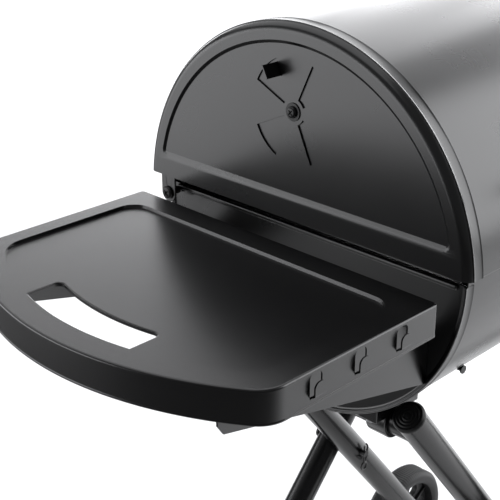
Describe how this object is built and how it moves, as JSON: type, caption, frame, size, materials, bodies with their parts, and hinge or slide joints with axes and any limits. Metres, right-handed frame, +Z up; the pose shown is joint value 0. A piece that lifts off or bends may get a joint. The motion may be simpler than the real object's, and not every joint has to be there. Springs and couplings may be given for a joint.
{
  "type": "barrel charcoal grill",
  "caption": "Barrel charcoal grill with hinged lid, rotary vents, side shelf with hand hole and hooks, folding scissor legs and wheels.",
  "frame": {"origin": "on the floor under the middle of the closed grill's outer box", "axes": "+Z up, +X from the shelf end to the wheel end, +Y from the grip side to the hinge side"},
  "size_m": [0.769, 0.4393, 0.8625],
  "materials": {
    "barrel_steel": "satin black heat-resistant powder coat on rolled sheet",
    "pressed_steel": "satin black powder coat on drawn sheet",
    "shelf_steel": "satin black powder coat, smooth",
    "bracket_steel": "satin black powder coat on plate",
    "tube_steel": "satin black powder coat on round tube",
    "black_plastic": "moulded black plastic with fine ribs",
    "wheel_plastic": "moulded black plastic with a ribbed tread",
    "bush_plastic": "dark grey acetal sleeve",
    "black_hardware": "black oxide screws, pins and clips",
    "damper_steel": "satin black powder coat on thin plate",
    "zinc": "bright zinc-plated steel",
    "grate_wire": "nickel-chrome plated wire",
    "charcoal_wire": "plain steel wire, slightly dulled"
  },
  "bodies": {
    "grill_body": {"firebox_shell": "barrel_steel", "firebox_cap_left": "pressed_steel", "firebox_cap_right": "pressed_steel", "shelf_panel": "shelf_steel", "shelf_bracket_front": "bracket_steel", "shelf_bracket_rear": "bracket_steel", "saddle_front": "bracket_steel", "saddle_rear": "bracket_steel", "leg_stop": "bracket_steel", "hinge_screws": "black_hardware", "intake_screw": "black_hardware", "bracket_bolts": "zinc", "bracket_nuts": "zinc", "hinge_nuts": "zinc", "saddle_bolts": "zinc", "saddle_nuts": "zinc", "ledge_rivets": "zinc", "grate_ledges": "zinc", "charcoal_ledges": "zinc", "cooking_grate_left": "grate_wire", "cooking_grate_right": "grate_wire", "charcoal_grate": "charcoal_wire"},
    "lid": {"lid_shell": "barrel_steel", "lid_cap_left": "pressed_steel", "lid_cap_right": "pressed_steel", "lid_ear_left": "pressed_steel", "lid_ear_right": "pressed_steel", "ear_rivets": "black_hardware", "grip": "black_plastic", "grip_posts": "black_hardware", "grip_screws": "zinc", "vent_screws": "black_hardware", "vent_nuts": "zinc"},
    "lid_damper_left": {"damper_left": "damper_steel"},
    "lid_damper_right": {"damper_right": "damper_steel"},
    "intake_plate": {"intake_damper": "damper_steel"},
    "inner_frame": {"inner_leg_front": "tube_steel", "inner_leg_rear": "tube_steel", "inner_cross_tube": "tube_steel", "inner_plugs": "black_plastic", "wheel_axle": "zinc", "axle_caps": "black_plastic", "scissor_pins": "zinc", "hairpin_clips": "black_hardware"},
    "outer_frame": {"outer_leg_front": "tube_steel", "outer_leg_rear": "tube_steel", "outer_cross_tube": "tube_steel", "foot_tube": "tube_steel", "feet": "black_plastic", "outer_plugs": "black_plastic"},
    "front_wheel": {"wheel_front": "wheel_plastic", "bush_front": "bush_plastic"},
    "rear_wheel": {"wheel_rear": "wheel_plastic", "bush_rear": "bush_plastic"}
  },
  "joints": [
    {"name": "lid_hinge", "type": "hinge", "parent": "grill_body", "child": "lid", "pos_m": [0.1325, 0.194, 0.6595], "axis": [-1, 0, 0], "range_deg": [0, 95]},
    {"name": "vent_left", "type": "hinge", "parent": "lid", "child": "lid_damper_left", "pos_m": [-0.0975, 0.02, 0.7825], "axis": [-1, 0, 0], "range_deg": [0, 34]},
    {"name": "vent_right", "type": "hinge", "parent": "lid", "child": "lid_damper_right", "pos_m": [0.3625, 0.02, 0.7825], "axis": [-1, 0, 0], "range_deg": [0, 34]},
    {"name": "intake_vent", "type": "hinge", "parent": "grill_body", "child": "intake_plate", "pos_m": [0.3485, 0.02, 0.5695], "axis": [-1, 0, 0], "range_deg": [0, 34]},
    {"name": "leg_fold", "type": "hinge", "parent": "grill_body", "child": "inner_frame", "pos_m": [-0.0205, 0.02, 0.4605], "axis": [0, -1, 0], "range_deg": [0, 38]},
    {"name": "scissor", "type": "hinge", "parent": "inner_frame", "child": "outer_frame", "pos_m": [0.12626, 0.02, 0.27697], "axis": [0, -1, 0], "range_deg": [-76, 0]},
    {"name": "front_wheel_spin", "type": "hinge", "parent": "inner_frame", "child": "front_wheel", "pos_m": [0.29177, -0.116, 0.07], "axis": [0, 1, 0], "continuous": true},
    {"name": "rear_wheel_spin", "type": "hinge", "parent": "inner_frame", "child": "rear_wheel", "pos_m": [0.29177, 0.156, 0.07], "axis": [0, 1, 0], "continuous": true}
  ],
  "couplings": [
    {"joint": "scissor", "follows": "leg_fold", "ratio": -2}
  ]
}
